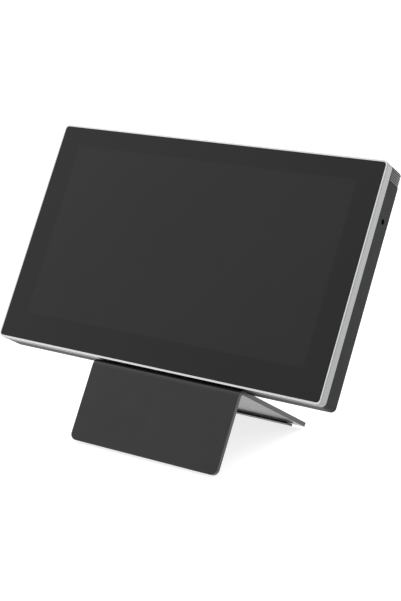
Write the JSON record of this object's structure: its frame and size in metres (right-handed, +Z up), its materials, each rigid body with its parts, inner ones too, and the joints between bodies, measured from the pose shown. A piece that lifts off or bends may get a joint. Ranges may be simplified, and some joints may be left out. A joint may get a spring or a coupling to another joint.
{
  "type": "tabletop touch display",
  "caption": "Glass-fronted tabletop touch display with a metal edge frame, dark rear shell, side vents and a folded sheet stand with a concealed tilt hinge.",
  "frame": {"origin": "middle of the footprint's bounding box, on the surface the stand rests on", "axes": "+Z up, +X to the right of a person facing the screen, -Y towards that person; the screen leans back 30 degrees"},
  "size_m": [0.2588, 0.1274, 0.1893],
  "materials": {
    "glass_black": "polished black-printed cover glass",
    "aluminium_satin": "fine brushed, satin",
    "charcoal_plastic": "fine matt texture",
    "stand_paint": "satin charcoal powder coat",
    "rubber_black": "matt",
    "steel_plain": "plain zinc-plated",
    "steel_dark": "blackened",
    "board_green": "solder-masked circuit board",
    "plastic_black": "moulded, matt",
    "film_white": "light-guide film in a white tray",
    "antenna_copper": "thin foil",
    "cell_wrap": "wrapped pouch cells"
  },
  "bodies": {
    "stand": {"stand_plate": "stand_paint", "arm_pad": "rubber_black", "foot_pad": "rubber_black", "hinge_pin_left": "steel_plain", "hinge_pin_right": "steel_plain", "hinge_cheek_1": "steel_dark", "hinge_cheek_2": "steel_dark", "hinge_cheek_3": "steel_dark", "hinge_cheek_4": "steel_dark", "stand_screw_1": "steel_plain", "stand_screw_2": "steel_plain", "stand_screw_3": "steel_plain", "stand_screw_4": "steel_plain"},
    "display": {"cover_glass": "glass_black", "touch_sensor": "glass_black", "lcd_panel": "glass_black", "glass_gasket": "rubber_black", "mid_frame": "aluminium_satin", "backlight_unit": "film_white", "chassis_plate": "steel_plain", "main_board": "board_green", "processor_shield": "steel_plain", "heat_spreader": "aluminium_satin", "battery_pack": "cell_wrap", "rear_shell": "charcoal_plastic", "vent_fins_right": "aluminium_satin", "vent_fins_left": "aluminium_satin", "audio_jack": "plastic_black", "power_socket": "steel_plain", "speaker_box_left": "plastic_black", "speaker_box_right": "plastic_black", "speaker_cone_left": "rubber_black", "speaker_cone_right": "rubber_black", "antenna_left": "antenna_copper", "antenna_right": "antenna_copper", "microphone": "steel_plain", "switch_board": "board_green", "rest_bumper_left": "rubber_black", "rest_bumper_right": "rubber_black", "hinge_knuckle_left": "steel_dark", "hinge_knuckle_right": "steel_dark", "chassis_screw_1": "steel_plain", "board_screw_1": "steel_plain", "case_screw_1": "steel_dark", "hinge_screw_1": "steel_plain", "chassis_screw_2": "steel_plain", "board_screw_2": "steel_plain", "case_screw_2": "steel_dark", "hinge_screw_2": "steel_plain", "chassis_screw_3": "steel_plain", "board_screw_3": "steel_plain", "case_screw_3": "steel_dark", "hinge_screw_3": "steel_plain", "chassis_screw_4": "steel_plain", "board_screw_4": "steel_plain", "case_screw_4": "steel_dark", "hinge_screw_4": "steel_plain"},
    "power_key": {"power_button": "aluminium_satin"},
    "volume_down_key": {"volume_down_button": "charcoal_plastic"},
    "volume_up_key": {"volume_up_button": "charcoal_plastic"}
  },
  "joints": [
    {"name": "display_tilt", "type": "hinge", "parent": "stand", "child": "display", "pos_m": [0.0143, -0.03374, 0.04384], "axis": [1, 0, 0], "range_deg": [0, 20]},
    {"name": "power_press", "type": "slide", "parent": "display", "child": "power_key", "axis": [0, -0.5, -0.866], "range_m": [0, 0.0004], "stiffness_N_per_m": 1500},
    {"name": "volume_down_press", "type": "slide", "parent": "display", "child": "volume_down_key", "axis": [0, -0.5, -0.866], "range_m": [0, 0.0004], "stiffness_N_per_m": 1500},
    {"name": "volume_up_press", "type": "slide", "parent": "display", "child": "volume_up_key", "axis": [0, -0.5, -0.866], "range_m": [0, 0.0004], "stiffness_N_per_m": 1500}
  ]
}
